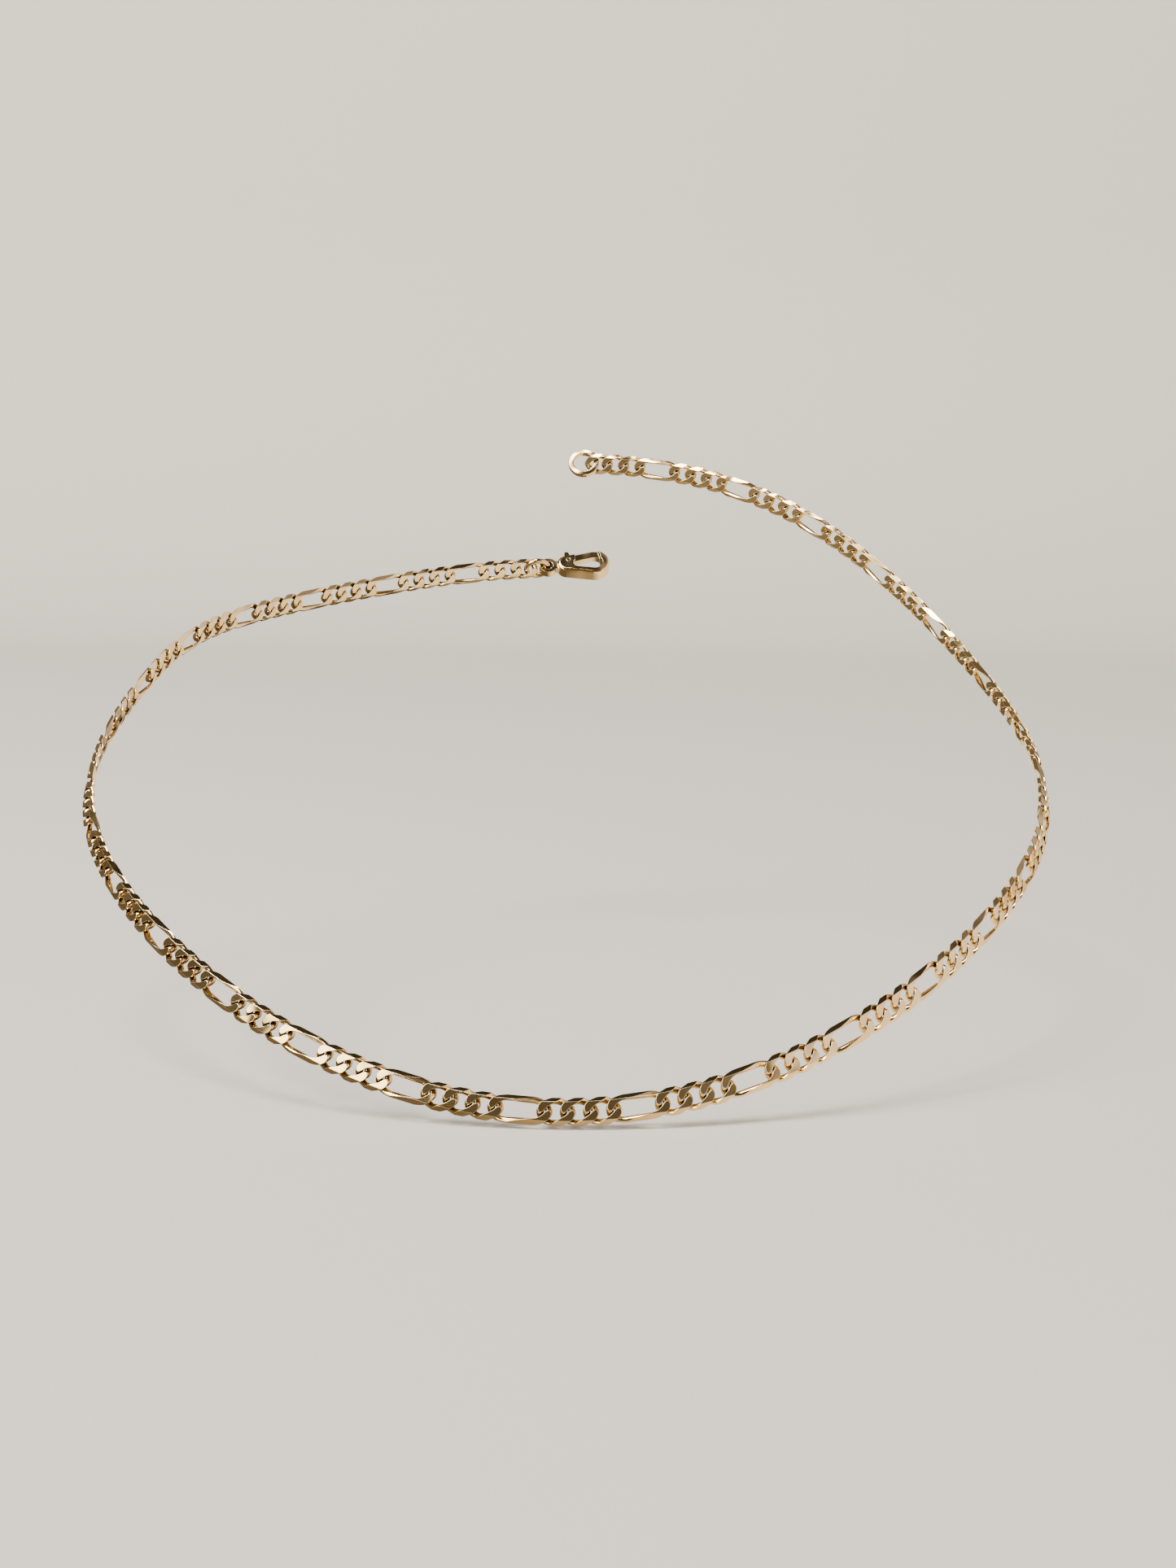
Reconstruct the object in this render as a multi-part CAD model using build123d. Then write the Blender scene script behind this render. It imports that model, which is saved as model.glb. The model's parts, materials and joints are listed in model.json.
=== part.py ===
from build123d import *
import os
from bisect import bisect_right
from math import cos, hypot, pi, radians, sin, sqrt

os.makedirs("parts", exist_ok=True)

# A figaro chain necklace: one long link, then three short links, over and over.
# Millimetres, +Z up. The origin is level with the front of the chain, on the
# upright axis of the neck it hangs round, and the chain's front faces -Y.

# Link wire and the bar-shaped envelope every link is pressed and diamond-cut to
wire = 0.84
chain_width = 3.1
chain_thickness = 1.0
link_play = 0.10
short_pitch = 2.5
long_pitch = 5.3

# Twist of a link: its side wires lean one way and its two ends the other
loop_half_width = 1.26
end_twist = 50
short_side_lean = 38
long_side_lean = 12
long_straight = 1.4

# How the chain lies: a slightly egg-shaped loop that climbs from front to nape
loop_radius_across = 61.5
loop_radius_deep = 58.1
egg = -0.028
rise = 72.5
rise_sag = -0.337
rise_swing = 0.712
chain_slide = 2.2
front_tilt = 25
rear_tilt = 8

# The clasp is undone: behind the neck one end is tucked in high, the other low
rear_start = 0.70
rear_lift = 8.0
rear_tuck = 0.06

# Pattern and how it is shared out between nodes, on each side of the front
periods = 15
fine_periods = 11
front_run = 3
short_run = 3

# End ring and the claw's jump ring
end_ring_outer = 4.6
end_ring_bore = 3.0
end_ring_thickness = 0.8
jump_ring_mean = 3.4
jump_ring_wire = 0.8

# Lobster claw
claw_thickness = 2.2
claw_rounding = 0.45
eyelet_outer = 2.7
eyelet_bore = 1.5
eyelet_thickness = 1.2
heel_radius = 1.5
heel_reach = 2.9
nose_radius = 2.3
nose_reach = 7.2
throat_radius = 0.75
throat_reach = 4.6
mouth_radius = 1.25
slot_width = 1.7
lever_thickness = 1.0
pivot_x = 3.1
pivot_y = -0.55
pivot_boss = 0.75
lever_radius = 5.02
mouth_sweep = 5.12
pin_diameter = 0.60
pin_hole = 0.64
lever_hole = 0.68
spring_wire = 0.22
spring_radius = 0.52
spring_turn = 300
spring_leg = 0.5
stem_length = 2.2
stem_width = 1.5
gate_line = -0.45
gate_start = 4.2
lever_slot_reach = 2.5
lever_slot_back = 0.9
lever_slot_top = 0.4
thumb_tab_drop = 1.6
thumb_tab_radius = 0.4

# How finely the lay curve is measured, and how far past the nape either way
curve_steps = 8000
curve_end = 1.1 * pi


# ---------------------------------------------------------------- the lay curve

def climb(back):
    """Height above the front; back runs from 0 at the front to 1 at the nape."""
    swing = rise_swing * back * (1 - back) * (1 - 2 * back)
    return rise * (back + rise_sag * back * (1 - back) + swing)


def climb_slope(back):
    """Rate of climb with back."""
    swing = rise_swing * ((1 - 2 * back) ** 2 - 2 * back * (1 - back))
    return rise * (1 + rise_sag * (1 - 2 * back) + swing)


def lay_point(turn):
    """Point on the chain's lay curve; turn is 0 at the front, positive to +X."""
    side = 1 if turn > 0 else -1
    back = (1 - cos(turn)) / 2
    height = climb(min(back, rear_start))
    height += climb_slope(rear_start) * max(0, back - rear_start)
    blend = max(0, (back - rear_start) / (1 - rear_start))
    blend = side * blend * blend * (3 - 2 * blend)
    scale = 1 - rear_tuck * blend
    across = loop_radius_across * sin(turn) * (1 + egg * cos(turn))
    deep = -loop_radius_deep * cos(turn)
    return Vector(across * scale, deep * scale, height + rear_lift * blend)


def lay_normal(turn):
    """Outward direction the flat of the chain faces."""
    across = loop_radius_deep * sin(turn)
    deep = -loop_radius_across * cos(turn)
    back = (1 - cos(turn)) / 2
    tilt = radians(front_tilt + (rear_tilt - front_tilt) * back)
    flat = cos(tilt) / hypot(across, deep)
    return Vector(across * flat, deep * flat, sin(tilt))


def measure_curve():
    """Turns along the curve and the length run from the front to each of them."""
    turns = [curve_end * (i / curve_steps - 1) for i in range(2 * curve_steps + 1)]
    runs = [0.0]
    here = lay_point(turns[0])
    for turn in turns[1:]:
        there = lay_point(turn)
        runs.append(runs[-1] + (there - here).length)
        here = there
    front = runs[curve_steps]
    return turns, [run - front for run in runs]


turns, runs = measure_curve()


def turn_at(run):
    """Turn reached after a length of chain, positive to +X."""
    i = bisect_right(runs, run)
    share = (run - runs[i - 1]) / (runs[i] - runs[i - 1])
    return turns[i - 1] + share * (turns[i] - turns[i - 1])


def link_frame(run_start, run_end):
    """Frame of a link between two crossings: X along it, Z out of its flat face."""
    start = lay_point(turn_at(run_start))
    end = lay_point(turn_at(run_end))
    along = (end - start).normalized()
    face = lay_normal(turn_at((run_start + run_end) / 2))
    face = face - along * face.dot(along)
    return Plane(origin=(start + end) / 2, x_dir=along, z_dir=face)


# ------------------------------------------------------------------- the links

def bend(start, direction, end):
    """Wire bent on one arc that leaves start along direction and reaches end."""
    chord = end - start
    normal = direction.cross(chord).normalized()
    inward = normal.cross(direction)
    radius = chord.dot(chord) / (2 * chord.dot(inward))
    angle = 2 * direction.get_angle(chord)
    section = Plane(origin=start, z_dir=direction) * Circle(wire / 2)
    return revolve(section, Axis(start + inward * radius, normal), angle)


def quarter_link(half_length, straight, side_lean):
    """A quarter of a link, from the middle of one side to the middle of one end."""
    lean = radians(side_lean)
    twist = radians(end_twist)
    leave = Vector(cos(lean), 0, -sin(lean))
    arrive = Vector(0, -cos(twist), sin(twist))
    side = Vector(0, loop_half_width, 0)
    start = side + leave * straight
    end = Vector(half_length, 0, 0)
    span = end - start
    both = leave + arrive
    spread = 1 - leave.dot(arrive)
    root = sqrt(span.dot(both) ** 2 + 2 * spread * span.dot(span))
    reach = (root - span.dot(both)) / (2 * spread)
    knee = (start + leave * reach + end - arrive * reach) / 2
    quarter = bend(start, leave, knee) + bend(end, -arrive, knee)
    if straight > 0:
        quarter += extrude(Plane(origin=side, z_dir=leave) * Circle(wire / 2), straight)
    return quarter


def cut_bar(length):
    """The bar a link is flattened and bevelled to: flat faces, sharp side edges."""
    edge = chain_width / 2
    flat = edge - chain_thickness / 2
    top = chain_thickness / 2
    outline = Polygon((-edge, 0), (-flat, top), (flat, top), (edge, 0), (flat, -top),
                      (-flat, -top), align=None)
    return extrude(Plane.YZ * outline, amount=length, both=True)


def make_link(pitch, straight, side_lean):
    """A closed twisted link that meets its neighbours half a pitch either way."""
    half_length = (pitch + wire + link_play) / 2
    quarter = quarter_link(half_length, straight, side_lean)
    end = quarter + quarter.rotate(Axis.X, 180)
    loop = end + end.rotate(Axis.Z, 180)
    return loop & cut_bar(half_length + wire)


link_shapes = {
    "short": make_link(short_pitch, 0, short_side_lean),
    "long": make_link(long_pitch, long_straight, long_side_lean),
}
pitches = {"short": short_pitch, "long": long_pitch}


# -------------------------------------------------------------------- the chain

def lay_links(side, reach, kinds):
    """Links laid one after another from a distance along the chain; new distance."""
    laid = []
    for kind in kinds:
        start = chain_slide + side * reach
        reach += pitches[kind]
        frame = link_frame(start, chain_slide + side * reach)
        laid.append(frame.location * link_shapes[kind])
    return laid, reach


def save(node, shapes):
    """Writes one node; a node of several links keeps each as a separate solid."""
    solids = [solid for shape in shapes for solid in shape.solids()]
    whole = solids[0] if len(solids) == 1 else Compound(solids)
    whole.label = node
    export_step(whole, f"parts/{node}.step", write_pcurves=False)


def make_front():
    """The run of short links at the middle of the front."""
    start = chain_slide - front_run * short_pitch / 2
    laid = []
    for i in range(front_run):
        frame = link_frame(start + i * short_pitch, start + (i + 1) * short_pitch)
        laid.append(frame.location * link_shapes["short"])
    save("front_short_run", laid)


def make_branch(name, side):
    """One side of the chain, from the front run to the nape; its last frame."""
    reach = front_run * short_pitch / 2
    shorts = ["short"] * short_run
    for period in range(1, periods + 1):
        if period <= fine_periods:
            laid, reach = lay_links(side, reach, ["long"])
            save(f"{name}_{period:02d}_long_link", laid)
            laid, reach = lay_links(side, reach, shorts)
            save(f"{name}_{period:02d}_short_run", laid)
        else:
            laid, reach = lay_links(side, reach, ["long"] + shorts)
            save(f"{name}_{period:02d}_rear_run", laid)
    start = chain_slide + side * (reach - short_pitch)
    return link_frame(start, chain_slide + side * reach)


# ---------------------------------------------------------------- the two rings

end_wire = Vector(0, -cos(radians(end_twist)), sin(radians(end_twist)))
hook_point = (short_pitch - wire - link_play) / 2


def ring_frame(last, bore):
    """Frame of a ring threaded on a branch's last link; Z is the ring's own axis."""
    centre = last.from_local_coords(Vector(hook_point + bore / 2, 0, 0))
    axis = last.from_local_coords(end_wire) - last.origin
    return Plane(origin=centre, x_dir=last.x_dir, z_dir=axis)


def make_end_ring(frame):
    """Flat soldered ring the claw hooks into."""
    section = Circle(end_ring_outer / 2) - Circle(end_ring_bore / 2)
    ring = extrude(section, amount=end_ring_thickness / 2, both=True)
    ring = fillet(ring.edges(), end_ring_thickness / 5)
    save("end_ring", [frame.location * ring])


def make_jump_ring(frame):
    """Round wire ring that joins the claw to the chain."""
    save("clasp_jump_ring", [frame.location * Torus(jump_ring_mean / 2, jump_ring_wire / 2)])


# --------------------------------------------------------------------- the claw

def plate(sketch, thickness):
    """A flat piece of the claw, centred on its mid-plane."""
    return extrude(sketch, amount=thickness / 2, both=True)


def claw_outline():
    """Teardrop outside of the claw, small at the heel and round at the nose."""
    return make_hull((Pos(heel_reach, 0) * Circle(heel_radius)
                      + Pos(nose_reach, 0) * Circle(nose_radius)).edges())


def claw_opening():
    """Space inside the hook."""
    return make_hull((Pos(throat_reach, 0.1) * Circle(throat_radius)
                      + Pos(nose_reach, 0.05) * Circle(mouth_radius)).edges())


def gate_zone(radius, start):
    """Lower side of the claw that the lever closes, swept from the lever's pivot."""
    lower = Pos(start, gate_line) * Rectangle(20, 10, align=(Align.MIN, Align.MAX))
    return (Pos(pivot_x, pivot_y) * Circle(radius)) & lower


def make_claw_body():
    """Hook, heel and eyelet in one casting, slotted for the lever."""
    blank = plate(claw_outline(), claw_thickness)
    rims = blank.faces().filter_by(Axis.Z).edges()
    inside = claw_opening() + gate_zone(mouth_sweep, gate_start)
    body = fillet(rims, claw_rounding) - plate(inside, claw_thickness)
    stem = Pos(0.1 + stem_length / 2, 0) * Rectangle(stem_length, stem_width)
    eyelet = plate(Circle(eyelet_outer / 2) + stem, eyelet_thickness)
    corner = Pos(pivot_x - lever_slot_back, lever_slot_top)
    slot = corner * Rectangle(10, 5, align=(Align.MIN, Align.MAX))
    slot = slot & (Pos(pivot_x, pivot_y) * Circle(lever_slot_reach))
    body = body + eyelet
    body -= plate(slot, slot_width)
    body -= plate(Circle(eyelet_bore / 2), claw_thickness)
    body -= plate(Pos(pivot_x, pivot_y) * Circle(pin_hole / 2), claw_thickness)
    return body


def make_lever():
    """Gate lever: closes the hook, turns on the pin, with a thumb tab below."""
    gate = (claw_outline() - claw_opening()) & gate_zone(lever_radius, pivot_x)
    boss = Pos(pivot_x, pivot_y) * Circle(pivot_boss)
    tip = Pos(pivot_x - 0.1, pivot_y - thumb_tab_drop) * Circle(thumb_tab_radius)
    tab = make_hull((boss + tip).edges())
    lever = plate(gate + boss + tab, lever_thickness)
    return lever - plate(Pos(pivot_x, pivot_y) * Circle(lever_hole / 2), claw_thickness)


def make_spring():
    """One-turn wire spring round the pin, one leg on the lever, one on the heel."""
    level = (lever_thickness + slot_width) / 4
    section = Plane.XZ * Pos(spring_radius, 0) * Circle(spring_wire / 2)
    coil = revolve(section, Axis.Z, spring_turn)
    leg = Plane(origin=(spring_radius, 0, 0), z_dir=(0, -1, 0)) * Circle(spring_wire / 2)
    leg = extrude(leg, amount=spring_leg)
    return Pos(pivot_x, pivot_y, level) * (coil + leg)


def make_claw(frame):
    """All four pieces of the claw, placed."""
    pin = Pos(pivot_x, pivot_y) * Cylinder(pin_diameter / 2, claw_thickness)
    save("clasp_body", [frame.location * make_claw_body()])
    save("clasp_lever", [frame.location * make_lever()])
    save("clasp_pin", [frame.location * pin])
    save("clasp_spring", [frame.location * make_spring()])


def claw_frame(ring):
    """Frame of the claw: its eyelet rides on the far side of the jump ring."""
    eye = ring.from_local_coords(Vector(jump_ring_mean / 2, 0, 0))
    across = ring.from_local_coords(Vector(0, 1, 0)) - ring.origin
    return Plane(origin=eye, x_dir=ring.x_dir, z_dir=across)


make_front()
left_end = make_branch("left", -1)
right_end = make_branch("right", 1)
make_end_ring(ring_frame(right_end, end_ring_bore))
jump_frame = ring_frame(left_end, jump_ring_mean - jump_ring_wire)
make_jump_ring(jump_frame)
make_claw(claw_frame(jump_frame))
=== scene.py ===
import json
import math

import bmesh
import bpy
import numpy as np
from mathutils import Matrix, Vector

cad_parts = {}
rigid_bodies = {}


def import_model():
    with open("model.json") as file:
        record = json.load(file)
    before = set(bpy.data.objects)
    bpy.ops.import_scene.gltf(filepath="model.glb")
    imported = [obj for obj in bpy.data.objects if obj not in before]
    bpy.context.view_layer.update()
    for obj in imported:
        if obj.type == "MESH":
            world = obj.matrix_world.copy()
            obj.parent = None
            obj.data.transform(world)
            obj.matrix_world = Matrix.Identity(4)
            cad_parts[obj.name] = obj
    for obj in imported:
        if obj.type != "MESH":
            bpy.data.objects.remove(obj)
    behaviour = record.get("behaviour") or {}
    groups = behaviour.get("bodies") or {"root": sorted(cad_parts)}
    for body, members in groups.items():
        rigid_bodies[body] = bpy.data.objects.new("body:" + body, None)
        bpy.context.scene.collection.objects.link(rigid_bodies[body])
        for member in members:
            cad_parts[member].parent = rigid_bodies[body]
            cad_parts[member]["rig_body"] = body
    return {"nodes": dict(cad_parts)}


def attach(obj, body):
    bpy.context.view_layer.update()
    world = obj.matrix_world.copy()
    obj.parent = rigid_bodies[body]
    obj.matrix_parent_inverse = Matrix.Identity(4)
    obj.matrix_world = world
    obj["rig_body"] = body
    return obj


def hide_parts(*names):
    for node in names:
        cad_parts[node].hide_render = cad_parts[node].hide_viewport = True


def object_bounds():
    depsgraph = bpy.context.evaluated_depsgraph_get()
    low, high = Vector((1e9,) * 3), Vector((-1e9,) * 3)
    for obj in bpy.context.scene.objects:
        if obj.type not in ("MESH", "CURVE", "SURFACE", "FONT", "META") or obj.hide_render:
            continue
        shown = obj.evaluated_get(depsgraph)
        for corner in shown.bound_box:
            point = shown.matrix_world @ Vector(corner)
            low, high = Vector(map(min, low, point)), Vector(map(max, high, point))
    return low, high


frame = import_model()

START_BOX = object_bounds()
MM = 0.001

# ------------------------------------------------------------------ link sizes (mm)
WIRE = 0.84
WIDTH = 3.1
THICK = 1.0
PLAY = 0.10
HALF_WIDTH = 1.26
END_TWIST = math.radians(50)
SHORT = {"pitch": 2.5, "straight": 0.0, "lean": math.radians(38), "steps": 15}
LONG = {"pitch": 5.3, "straight": 1.4, "lean": math.radians(12), "steps": 18}
ROUND_STEPS = 28
STRAIGHT_STEPS = 6
WELD = 2e-4
CUT_SNAP = 1e-6
BEVEL_SLANT = math.sqrt(0.5)
# An end-to-end length between the two kinds of link tells them apart
HALFWAY_LENGTH = (SHORT["pitch"] + LONG["pitch"]) / 2 + 2 * WIRE + PLAY
# Links are seen as squashed lengthwise when finding which way is outward on the wire
OUTWARD = [0.35, 1, 1]


# ----------------------------------------------------------------------- link mesh
def arc(start, direction, end, steps):
    """Points of the arc that leaves start along direction and reaches end."""
    chord = end - start
    normal = np.cross(direction, chord)
    normal /= np.linalg.norm(normal)
    inward = np.cross(normal, direction)
    radius = chord @ chord / (2 * chord @ inward)
    angle = 2 * math.acos(min(1.0, direction @ chord / np.linalg.norm(chord)))
    turn = np.linspace(0, angle, steps + 1)[:, None]
    return start + inward * radius * (1 - np.cos(turn)) + direction * radius * np.sin(turn)


def link_path(kind):
    """Closed centre line of a link, from four turned copies of one quarter."""
    half_length = (kind["pitch"] + WIRE + PLAY) / 2
    leave = np.array([math.cos(kind["lean"]), 0, -math.sin(kind["lean"])])
    arrive = np.array([0, -math.cos(END_TWIST), math.sin(END_TWIST)])
    side = np.array([0, HALF_WIDTH, 0])
    start = side + leave * kind["straight"]
    end = np.array([half_length, 0, 0])
    span = end - start
    both = leave + arrive
    spread = 1 - leave @ arrive
    root = math.sqrt((span @ both) ** 2 + 2 * spread * span @ span)
    reach = (root - span @ both) / (2 * spread)
    knee = (start + leave * reach + end - arrive * reach) / 2
    first = arc(start, leave, knee, kind["steps"])
    second = arc(end, -arrive, knee, kind["steps"])[::-1]
    quarter = np.vstack([first, second[1:]])
    if kind["straight"]:
        run = np.linspace(0, 1, STRAIGHT_STEPS + 1)[:-1, None]
        quarter = np.vstack([side + (start - side) * run, quarter])
    half = np.vstack([quarter, quarter[::-1][1:] * [1, -1, -1]])
    return np.vstack([half, half[1:-1] * [-1, -1, 1]])


def sweep(path, radius, sides, bm):
    """Closed round wire along a closed path, in a bmesh."""
    count = len(path)
    along = np.roll(path, -1, 0) - np.roll(path, 1, 0)
    along /= np.linalg.norm(along, axis=1)[:, None]
    out = path * OUTWARD
    out = out - (out * along).sum(1)[:, None] * along
    out /= np.linalg.norm(out, axis=1)[:, None]
    across = np.cross(along, out)
    turn = np.linspace(0, 2 * math.pi, sides, endpoint=False)
    rings = []
    for i in range(count):
        ring = [path[i] + radius * (math.cos(t) * out[i] + math.sin(t) * across[i]) for t in turn]
        rings.append([bm.verts.new(Vector(p)) for p in ring])
    for i in range(count):
        a, b = rings[i], rings[(i + 1) % count]
        for j in range(sides):
            k = (j + 1) % sides
            bm.faces.new((a[j], b[j], b[k], a[k]))
    bmesh.ops.recalc_face_normals(bm, faces=bm.faces)


def cut_flat(bm, normal, distance):
    """Cuts the wire back to a plane and closes the cut with flat facets."""
    whole = bm.verts[:] + bm.edges[:] + bm.faces[:]
    point = Vector(normal) * distance
    bmesh.ops.bisect_plane(bm, geom=whole, dist=CUT_SNAP, plane_co=point, plane_no=normal,
                           clear_outer=True)
    rim = [e for e in bm.edges if e.is_boundary]
    filled = bmesh.ops.holes_fill(bm, edges=rim, sides=0)
    for face in filled["faces"]:
        face.smooth = False


def link_mesh(name, kind):
    """One link: a twisted wire loop, pressed flat and diamond-cut along both edges."""
    bm = bmesh.new()
    sweep(link_path(kind), WIRE / 2, ROUND_STEPS, bm)
    for face in bm.faces:
        face.smooth = True
    for up in (1, -1):
        cut_flat(bm, (0, 0, up), THICK / 2)
        for side in (1, -1):
            cut_flat(bm, (0, side * BEVEL_SLANT, up * BEVEL_SLANT), WIDTH / 2 * BEVEL_SLANT)
    bmesh.ops.remove_doubles(bm, verts=bm.verts, dist=WELD)
    bmesh.ops.recalc_face_normals(bm, faces=bm.faces)
    for edge in bm.edges:
        edge.smooth = all(face.smooth for face in edge.link_faces)
    mesh = bpy.data.meshes.new(name)
    bm.to_mesh(mesh)
    bm.free()
    mesh.transform(Matrix.Scale(MM, 4))
    return mesh


# ------------------------------------------------------- where the CAD's links are
def loose_solids(mesh):
    """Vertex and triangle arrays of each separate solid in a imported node."""
    points = np.empty(len(mesh.vertices) * 3)
    mesh.vertices.foreach_get("co", points)
    points = points.reshape(-1, 3)
    merged, index = np.unique(np.round(points, 8), axis=0, return_inverse=True)
    index = index.reshape(-1)
    mesh.calc_loop_triangles()
    tris = np.empty(len(mesh.loop_triangles) * 3, int)
    mesh.loop_triangles.foreach_get("vertices", tris)
    tris = index[tris].reshape(-1, 3)
    label = np.arange(len(merged))
    while True:
        low = label[tris].min(1)
        new = label.copy()
        for corner in range(3):
            np.minimum.at(new, tris[:, corner], low)
        new = new[new]
        if (new == label).all():
            break
        label = new
    return [(merged, tris[label[tris[:, 0]] == key]) for key in np.unique(label[tris[:, 0]])]


def solid_frame(points, tris):
    """Place of one link: X along it, Z through its thickness, from its moments."""
    a, b, c = (points[tris[:, i]] for i in range(3))
    middle = points[tris].reshape(-1, 3).mean(0)
    a, b, c = a - middle, b - middle, c - middle
    volume = np.einsum("ij,ij->i", a, np.cross(b, c)) / 6
    total = volume.sum()
    centre = ((a + b + c) * volume[:, None]).sum(0) / (4 * total)
    corner_sum = a + b + c
    moment = np.zeros((3, 3))
    for p in (a, b, c, corner_sum):
        moment += np.einsum("i,ij,ik->jk", volume, p, p)
    moment = moment / (20 * total) - np.outer(centre, centre)
    values, vectors = np.linalg.eigh(moment)
    x, y = vectors[:, 2], vectors[:, 1]
    z = np.cross(x, y)
    out = Matrix(np.column_stack([x, y, z]).tolist()).to_4x4()
    out.translation = Vector(middle + centre)
    length = np.ptp((points[np.unique(tris)] - middle) @ x)
    return out, length


# --------------------------------------------------------------------- materials
# Noise scales are per metre of object space; depths and reaches are in metres
DRIFT_SCALE = 260.0
DRIFT_BAND = (0.35, 0.6)
MARKS_SCALE = 3600.0
MARKS_BAND = (0.3, 0.7)
MARKS_DEPTH = 0.000001
MARKS_STRENGTH = 0.06
WAVES_SCALE = 330.0
WAVES_DEPTH = 0.00022
PAINTED_SHADE_REACH = 0.0016
# Painted shade in the hollows: how far the occlusion looks, its band, and the darkest share of
# the colour
PAINTED_SHADE_BAND = (0.15, 0.75)
PAINTED_SHADE_DARKEST = 0.28
EDGE_RADIUS = 0.00008
# Band of edge bending over which the colour turns paler: part rubbed plating, part painted
# highlight
EDGE_BAND = (0.995, 0.95)
SMOOTHEST = 0.75
ROUGHEST = 1.3
WORN_ROUGHNESS = 4
SAMPLES = 6


def node_graph(material):
    """An empty shader graph for a material."""
    material.use_nodes = True
    graph = material.node_tree
    graph.nodes.clear()
    return graph


def add(graph, kind, **values):
    """A shader node with its settings and its inputs' values."""
    node = graph.nodes.new(kind)
    for key, value in values.items():
        if key in node.inputs:
            node.inputs[key].default_value = value
        else:
            setattr(node, key, value)
    return node


def remap(graph, value, band, to_min=0.0, to_max=1.0):
    """The value's share of a band, stretched to run from to_min to to_max."""
    limits = {"From Min": band[0], "From Max": band[1], "To Min": to_min, "To Max": to_max}
    node = add(graph, "ShaderNodeMapRange", **limits)
    graph.links.new(value, node.inputs["Value"])
    return node.outputs["Result"]


def gold(name, colour, deep, bare_and_highlight, rough):
    """Polished plated gold: fine lapping marks, faint colour drift, painted shade in its hollows,
    and edges paler from rubbed plating and from a painted highlight.
    """
    material = bpy.data.materials.new(name)
    graph = node_graph(material)
    link = graph.links.new
    place = add(graph, "ShaderNodeTexCoord")
    drift = add(graph, "ShaderNodeTexNoise", Scale=DRIFT_SCALE, Detail=3.0)
    marks = add(graph, "ShaderNodeTexNoise", Scale=MARKS_SCALE, Detail=4.0, Roughness=0.6)
    waves = add(graph, "ShaderNodeTexNoise", Scale=WAVES_SCALE, Detail=0.0)
    for texture in (drift, marks, waves):
        link(place.outputs["Object"], texture.inputs["Vector"])
    tint = add(graph, "ShaderNodeMix", data_type="RGBA")
    tint.inputs[6].default_value = (*deep, 1)
    tint.inputs[7].default_value = (*colour, 1)
    link(remap(graph, drift.outputs["Fac"], DRIFT_BAND), tint.inputs[0])
    # Painted shade: the colour darkens where occlusion finds nearby surfaces, inside and between
    # the links
    painted_shade_ao = add(graph, "ShaderNodeAmbientOcclusion", Distance=PAINTED_SHADE_REACH, samples=SAMPLES)
    shade = add(graph, "ShaderNodeVectorMath", operation="SCALE")
    link(tint.outputs[2], shade.inputs[0])
    link(remap(graph, painted_shade_ao.outputs["AO"], PAINTED_SHADE_BAND, PAINTED_SHADE_DARKEST), shade.inputs["Scale"])
    dull = remap(graph, marks.outputs["Fac"], MARKS_BAND, rough * SMOOTHEST, rough * ROUGHEST)
    # Near the rounded edges the colour turns paler, part rubbed plating and part painted
    # highlight, and the surface rougher
    edge = add(graph, "ShaderNodeBevel", samples=SAMPLES, Radius=EDGE_RADIUS)
    surface = add(graph, "ShaderNodeNewGeometry")
    bent = add(graph, "ShaderNodeVectorMath", operation="DOT_PRODUCT")
    link(edge.outputs["Normal"], bent.inputs[0])
    link(surface.outputs["Normal"], bent.inputs[1])
    wear_and_highlight = remap(graph, bent.outputs["Value"], EDGE_BAND)
    worn_and_highlit = add(graph, "ShaderNodeMix", data_type="RGBA")
    worn_and_highlit.inputs[7].default_value = (*bare_and_highlight, 1)
    link(wear_and_highlight, worn_and_highlit.inputs[0])
    link(shade.outputs["Vector"], worn_and_highlit.inputs[6])
    scuffed = add(graph, "ShaderNodeMix")
    scuffed.inputs[3].default_value = rough * WORN_ROUGHNESS
    link(wear_and_highlight, scuffed.inputs[0])
    link(dull, scuffed.inputs[2])
    dents = add(graph, "ShaderNodeBump", Strength=1.0, Distance=WAVES_DEPTH)
    link(waves.outputs["Fac"], dents.inputs["Height"])
    link(edge.outputs["Normal"], dents.inputs["Normal"])
    scratch = add(graph, "ShaderNodeBump", Strength=MARKS_STRENGTH, Distance=MARKS_DEPTH)
    link(marks.outputs["Fac"], scratch.inputs["Height"])
    link(dents.outputs["Normal"], scratch.inputs["Normal"])
    skin = add(graph, "ShaderNodeBsdfPrincipled", Metallic=1.0)
    link(worn_and_highlit.outputs[2], skin.inputs["Base Color"])
    link(scuffed.outputs[0], skin.inputs["Roughness"])
    link(scratch.outputs["Normal"], skin.inputs["Normal"])
    result = add(graph, "ShaderNodeOutputMaterial")
    link(skin.outputs["BSDF"], result.inputs["Surface"])
    return material


# Third colour: the paler edge colour, part rubbed plating and part painted highlight
GOLD = gold("chain_gold", (0.95, 0.71, 0.36), (0.90, 0.62, 0.26), (1.0, 0.86, 0.58), 0.09)
STEEL = gold("spring_steel", (0.72, 0.71, 0.69), (0.60, 0.59, 0.57), (0.80, 0.79, 0.77), 0.20)


# -------------------------------------------------------------------- the chain
def join_meshes(name, meshes, places):
    """One mesh from several placed copies."""
    bm = bmesh.new()
    for mesh, place in zip(meshes, places):
        copy = mesh.copy()
        copy.transform(place)
        bm.from_mesh(copy)
        bpy.data.meshes.remove(copy)
    whole = bpy.data.meshes.new(name)
    bm.to_mesh(whole)
    bm.free()
    return whole


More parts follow.
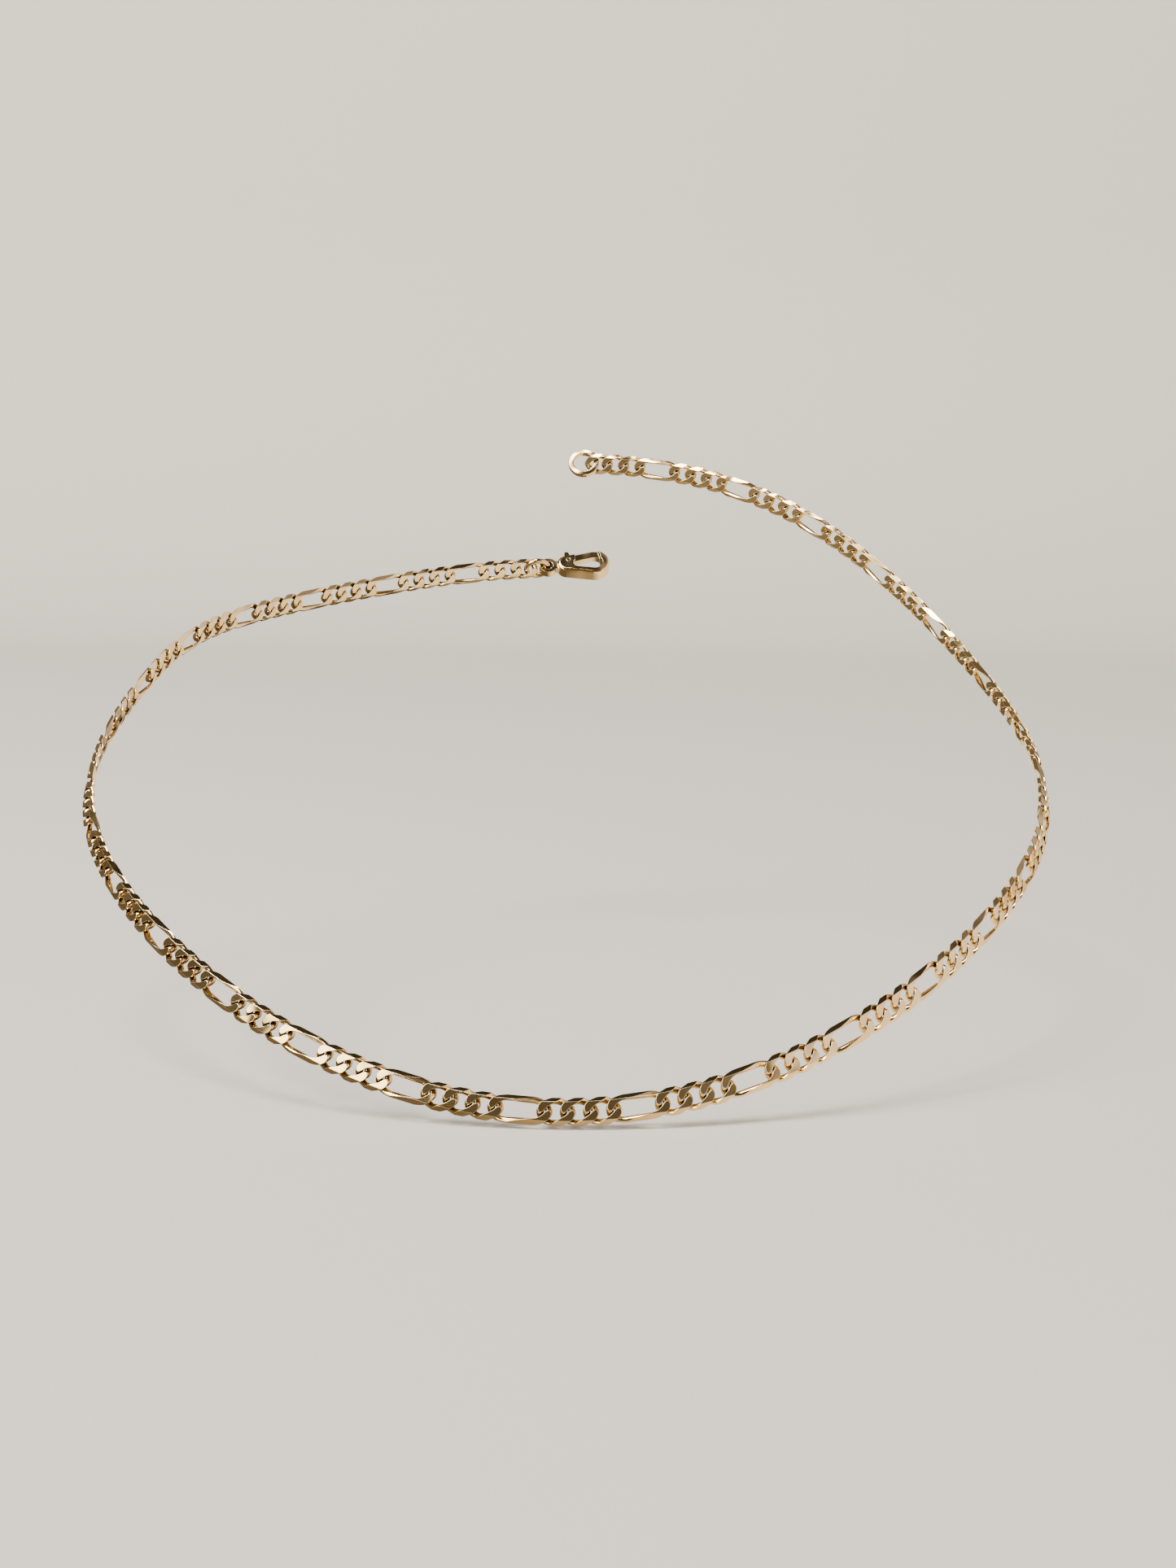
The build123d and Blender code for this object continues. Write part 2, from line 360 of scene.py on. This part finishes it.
def chain_pieces():
    """Puts a full-detail link on every link of the CAD's chain, one piece per node."""
    short = link_mesh("short_link", SHORT)
    long = link_mesh("long_link", LONG)
    for node, cad in frame["nodes"].items():
        if not node.endswith(("_link", "_run")):
            continue
        meshes, places = [], []
        for points, tris in loose_solids(cad.data):
            place, length = solid_frame(points, tris)
            meshes.append(long if length > HALFWAY_LENGTH * MM else short)
            places.append(place)
        mesh = join_meshes(node + "_wire", meshes, places)
        mesh.materials.append(GOLD)
        piece = bpy.data.objects.new(node + "_wire", mesh)
        bpy.context.scene.collection.objects.link(piece)
        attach(piece, cad["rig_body"])
        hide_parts(node)


def paint_clasp():
    """Materials for the clasp's own CAD pieces."""
    for node, cad in frame["nodes"].items():
        if node.endswith(("_link", "_run")):
            continue
        cad.data.materials.clear()
        cad.data.materials.append(STEEL if node == "clasp_spring" else GOLD)


chain_pieces()
paint_clasp()


# ------------------------------------------------------------------------ stage
PAPER = (0.74, 0.71, 0.665, 1)
PAPER_IN_LIGHT = (0.60, 0.575, 0.54, 1)
# Colours the paper shows only in the gold's reflections: a painted reflection of cloth, in
# painted shade to the left and lit to the right, across a band of X
PAINTED_SHADE_REFLECTION = (0.07, 0.055, 0.04, 1)
PAINTED_LIT_REFLECTION = (0.95, 0.88, 0.74, 1)
PAINTED_REFLECTION_BAND = (-0.012, 0.030)
PAPER_GAP = 0.0004
FLOOR_HALF_WIDTH = 2.5
FLOOR_FRONT = -2.0
WALL_BEND = 0.65
WALL_RADIUS = 0.2
WALL_TOP = 0.37
BEND_STEPS = 24

SKY_STRENGTH = 7.0
CEILING_BAND = (0.66, 0.78)
CEILING_SHARE = 0.22
WINDOW = (1.0, 0.95, 0.74)
DARK = (0.017, 0.0145, 0.0115)
DOORWAY = (0.034, 0.030, 0.024)
WALL = (0.235, 0.205, 0.205)
DIM_BACK = (0.031, 0.027, 0.021)
# Compass bearings in degrees, 0 toward -Y and positive toward +X
ROOM = [(-180, DIM_BACK), (-62, DARK), (-53, WINDOW), (-31, WINDOW), (-26, DARK), (12, DARK),
        (36, DOORWAY), (46, WALL), (112, WALL), (150, DIM_BACK), (180, DIM_BACK)]

LENS = 54.18
EYE = (0.0027, -0.305, 0.0672)
PITCH = 7.3
ROLL = 0.68


def paper_and_painted_reflection(graph):
    """Pale paper to the eye; only in the gold's reflections it shows a painted reflection of
    cloth, in painted shade on the left and lit on the right.
    """
    place = add(graph, "ShaderNodeTexCoord")
    split = add(graph, "ShaderNodeSeparateXYZ")
    graph.links.new(place.outputs["Object"], split.inputs[0])
    across = remap(graph, split.outputs["X"], PAINTED_REFLECTION_BAND)
    shade = add(graph, "ShaderNodeMix", data_type="RGBA")
    shade.inputs[6].default_value = PAINTED_SHADE_REFLECTION
    shade.inputs[7].default_value = PAINTED_LIT_REFLECTION
    graph.links.new(across, shade.inputs[0])
    path = add(graph, "ShaderNodeLightPath")
    paper = add(graph, "ShaderNodeMix", data_type="RGBA")
    paper.inputs[6].default_value = PAPER
    graph.links.new(path.outputs["Is Glossy Ray"], paper.inputs[0])
    graph.links.new(shade.outputs[2], paper.inputs[7])
    return paper.outputs[2]


def backdrop(level):
    """Pale floor that curves up behind into a plain wall."""
    line = [(FLOOR_FRONT, level)]
    for i in range(BEND_STEPS + 1):
        turn = math.pi / 2 * i / BEND_STEPS
        back = WALL_BEND + WALL_RADIUS * math.sin(turn)
        line.append((back, level + WALL_RADIUS * (1 - math.cos(turn))))
    line.append((WALL_BEND + WALL_RADIUS, WALL_TOP))
    verts = [(x, y, z) for x in (-FLOOR_HALF_WIDTH, FLOOR_HALF_WIDTH) for y, z in line]
    n = len(line)
    faces = [(i, i + 1, n + i + 1, n + i) for i in range(n - 1)]
    mesh = bpy.data.meshes.new("backdrop")
    mesh.from_pydata(verts, [], faces)
    for face in mesh.polygons:
        face.use_smooth = True
    material = bpy.data.materials.new("pale_paper")
    graph = node_graph(material)
    skin = add(graph, "ShaderNodeBsdfPrincipled", Roughness=0.85)
    graph.links.new(paper_and_painted_reflection(graph), skin.inputs["Base Color"])
    grain = add(graph, "ShaderNodeTexNoise", Scale=900.0, Detail=5.0)
    bump = add(graph, "ShaderNodeBump", Strength=0.08, Distance=0.0002)
    graph.links.new(grain.outputs["Fac"], bump.inputs["Height"])
    graph.links.new(bump.outputs["Normal"], skin.inputs["Normal"])
    result = add(graph, "ShaderNodeOutputMaterial")
    graph.links.new(skin.outputs["BSDF"], result.inputs["Surface"])
    mesh.materials.append(material)
    floor = bpy.data.objects.new("backdrop", mesh)
    bpy.context.scene.collection.objects.link(floor)


def lamp(name, place, aim, size, power, colour):
    """A soft rectangular light."""
    data = bpy.data.lights.new(name, "AREA")
    data.shape = "RECTANGLE"
    data.size, data.size_y = size
    data.energy = power
    data.color = colour
    light = bpy.data.objects.new(name, data)
    light.location = place
    light.rotation_euler = (Vector(aim) - Vector(place)).to_track_quat("-Z", "Y").to_euler()
    bpy.context.scene.collection.objects.link(light)


def sky():
    """Room light by compass direction: a window to the left, a dim room ahead."""
    world = bpy.data.worlds.new("room")
    bpy.context.scene.world = world
    world.use_nodes = True
    graph = world.node_tree
    graph.nodes.clear()
    link = graph.links.new
    place = add(graph, "ShaderNodeTexCoord")
    split = add(graph, "ShaderNodeSeparateXYZ")
    link(place.outputs["Generated"], split.inputs[0])
    ahead = add(graph, "ShaderNodeMath", operation="MULTIPLY")
    ahead.inputs[1].default_value = -1.0
    link(split.outputs["Y"], ahead.inputs[0])
    compass = add(graph, "ShaderNodeMath", operation="ARCTAN2")
    link(split.outputs["X"], compass.inputs[0])
    link(ahead.outputs["Value"], compass.inputs[1])
    round_share = remap(graph, compass.outputs["Value"], (-math.pi, math.pi))
    colours = add(graph, "ShaderNodeValToRGB")
    band = colours.color_ramp
    while len(band.elements) > 1:
        band.elements.remove(band.elements[0])
    band.elements[0].position = 0.0
    band.elements[0].color = (*ROOM[0][1], 1)
    for degrees, colour in ROOM[1:]:
        band.elements.new(0.5 + degrees / 360).color = (*colour, 1)
    link(round_share, colours.inputs["Fac"])
    dimmed = SKY_STRENGTH * CEILING_SHARE
    ceiling = remap(graph, split.outputs["Z"], CEILING_BAND, SKY_STRENGTH, dimmed)
    back = add(graph, "ShaderNodeBackground")
    link(colours.outputs["Color"], back.inputs["Color"])
    link(ceiling, back.inputs["Strength"])
    seen = add(graph, "ShaderNodeBackground", Color=PAPER_IN_LIGHT, Strength=1.0)
    path = add(graph, "ShaderNodeLightPath")
    choose = add(graph, "ShaderNodeMixShader")
    link(path.outputs["Is Camera Ray"], choose.inputs[0])
    link(back.outputs["Background"], choose.inputs[1])
    link(seen.outputs["Background"], choose.inputs[2])
    result = add(graph, "ShaderNodeOutputWorld")
    link(choose.outputs["Shader"], result.inputs["Surface"])


def camera():
    """In front of the chain and above its lowest link, looking slightly down."""
    data = bpy.data.cameras.new("view")
    data.lens = LENS
    data.clip_start = 0.01
    eye = bpy.data.objects.new("view", data)
    eye.matrix_world = (Matrix.Translation(EYE)
                        @ Matrix.Rotation(math.radians(90 - PITCH), 4, "X")
                        @ Matrix.Rotation(math.radians(ROLL), 4, "Z"))
    bpy.context.scene.collection.objects.link(eye)
    bpy.context.scene.camera = eye


low = min(corner[2] for corner in START_BOX)
backdrop(low - PAPER_GAP)
lamp("key", (-0.75, -0.35, 0.75), (0, 0, 0.02), (0.4, 0.4), 11, (1.0, 0.96, 0.90))
lamp("top", (-0.32, -0.30, 1.2), (0, 0, 0), (0.5, 0.4), 12, (1.0, 0.97, 0.93))
sky()
camera()
